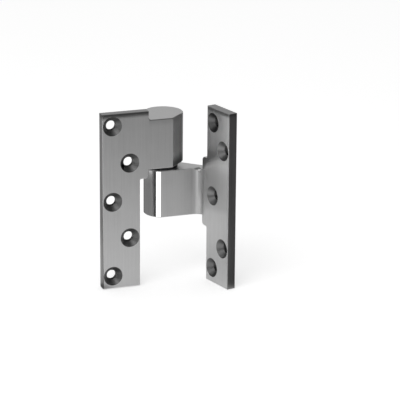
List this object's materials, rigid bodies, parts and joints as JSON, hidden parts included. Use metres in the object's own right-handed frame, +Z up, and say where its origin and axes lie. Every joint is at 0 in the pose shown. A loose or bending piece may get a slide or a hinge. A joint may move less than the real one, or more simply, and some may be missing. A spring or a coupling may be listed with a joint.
{
  "type": "pivot hinge",
  "caption": "Offset pivot hinge for a heavy door: flat leaves with countersunk holes, stacked knuckles on an upright pin, and a leaning arm that sets the axis clear of the door.",
  "frame": {"origin": "centre of the jamb leaf's back face, which lies on the door frame", "axes": "+X points into the door frame, +Y points from the jamb leaf towards the pivot, +Z is up along the pivot's axis"},
  "size_m": [0.081, 0.0666, 0.1284],
  "materials": {
    "jamb_leaf_steel": "satin grain along the leaf, polished lower knuckle",
    "door_leaf_steel": "satin grain along the leaf and the knuckle's face",
    "pin_steel": "ground smooth",
    "screw_steel": "black oxide",
    "washer_steel": "hardened, black oxide, oiled",
    "cage_steel": "pressed sheet, dark with oil",
    "roller_steel": "polished",
    "bush_bronze": "sintered, oil filled"
  },
  "bodies": {
    "jamb": {"jamb_leaf": "jamb_leaf_steel", "pivot_pin": "pin_steel", "pin_set_screw": "screw_steel", "lower_thrust_washer": "washer_steel"},
    "door": {"door_leaf": "door_leaf_steel", "upper_thrust_washer": "washer_steel", "bearing_bush": "bush_bronze"},
    "thrust_set": {"thrust_cage": "cage_steel", "thrust_rollers": "roller_steel"}
  },
  "joints": [
    {"name": "door_swing", "type": "hinge", "parent": "jamb", "child": "door", "pos_m": [-0.02715, 0.03885, 0], "axis": [0, 0, 1], "range_deg": [-77, 103]},
    {"name": "thrust_set_turn", "type": "hinge", "parent": "jamb", "child": "thrust_set", "pos_m": [-0.02715, 0.03885, 0.01922], "axis": [0, 0, 1], "range_deg": [-38.5, 51.5]}
  ],
  "couplings": [
    {"joint": "thrust_set_turn", "follows": "door_swing", "ratio": 0.5}
  ]
}
